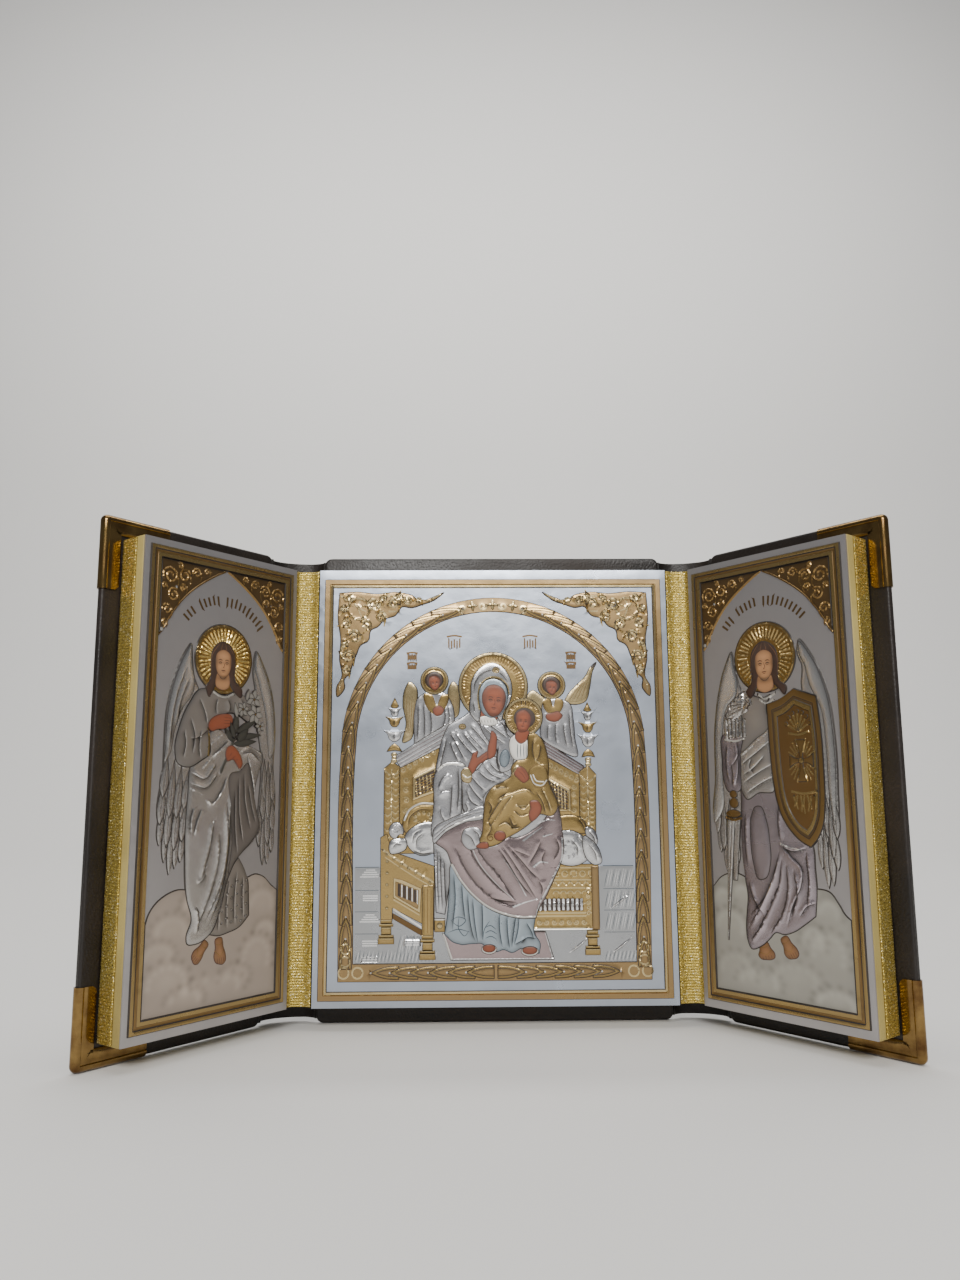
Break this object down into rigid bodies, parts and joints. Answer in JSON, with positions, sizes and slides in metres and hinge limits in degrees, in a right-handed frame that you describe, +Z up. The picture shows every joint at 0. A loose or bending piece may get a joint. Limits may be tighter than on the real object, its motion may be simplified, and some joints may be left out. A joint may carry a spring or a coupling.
{
  "type": "folding triptych altarpiece",
  "caption": "Folding travel triptych: thick boards with embossed foil icon plates in a dark leatherette case, wings on cloth hinges, brass corner protectors.",
  "frame": {"origin": "middle of the footprint at the height of the lowest edges, with the wings half open as in the picture", "axes": "+X to the viewer's right along the centre panel, +Y from the viewer to the back, +Z up along the fold lines"},
  "size_m": [0.2942, 0.078, 0.195],
  "materials": {
    "leatherette": "satin dark brown leatherette over a cover board",
    "cloth": "satin dark brown leatherette cloth",
    "board": "matt pale yellow board",
    "foil": "satin embossed silver foil with gilding and printed colours",
    "braid": "glittering gold metallic braid",
    "brass": "polished"
  },
  "bodies": {
    "centre": {"centre_cover": "leatherette", "centre_board": "board", "centre_icon_plate": "foil", "left_hinge_cloth": "cloth", "right_hinge_cloth": "cloth", "left_hinge_braid": "braid", "right_hinge_braid": "braid"},
    "left_wing": {"left_wing_cover": "leatherette", "left_wing_board": "board", "left_icon_plate": "foil", "left_edge_braid": "braid", "left_top_corner": "brass", "left_bottom_corner": "brass"},
    "right_wing": {"right_wing_cover": "leatherette", "right_wing_board": "board", "right_icon_plate": "foil", "right_edge_braid": "braid", "right_top_corner": "brass", "right_bottom_corner": "brass"}
  },
  "joints": [
    {"name": "left_wing_fold", "type": "hinge", "parent": "centre", "child": "left_wing", "pos_m": [-0.0822, 0.01809, 0.0975], "axis": [0, 0, 1], "range_deg": [-52.16, 127.84], "deforming": ["left_hinge_cloth", "left_hinge_braid"]},
    {"name": "right_wing_fold", "type": "hinge", "parent": "centre", "child": "right_wing", "pos_m": [0.0822, 0.01809, 0.0975], "axis": [0, 0, -1], "range_deg": [-52.16, 127.84], "deforming": ["right_hinge_cloth", "right_hinge_braid"]}
  ]
}
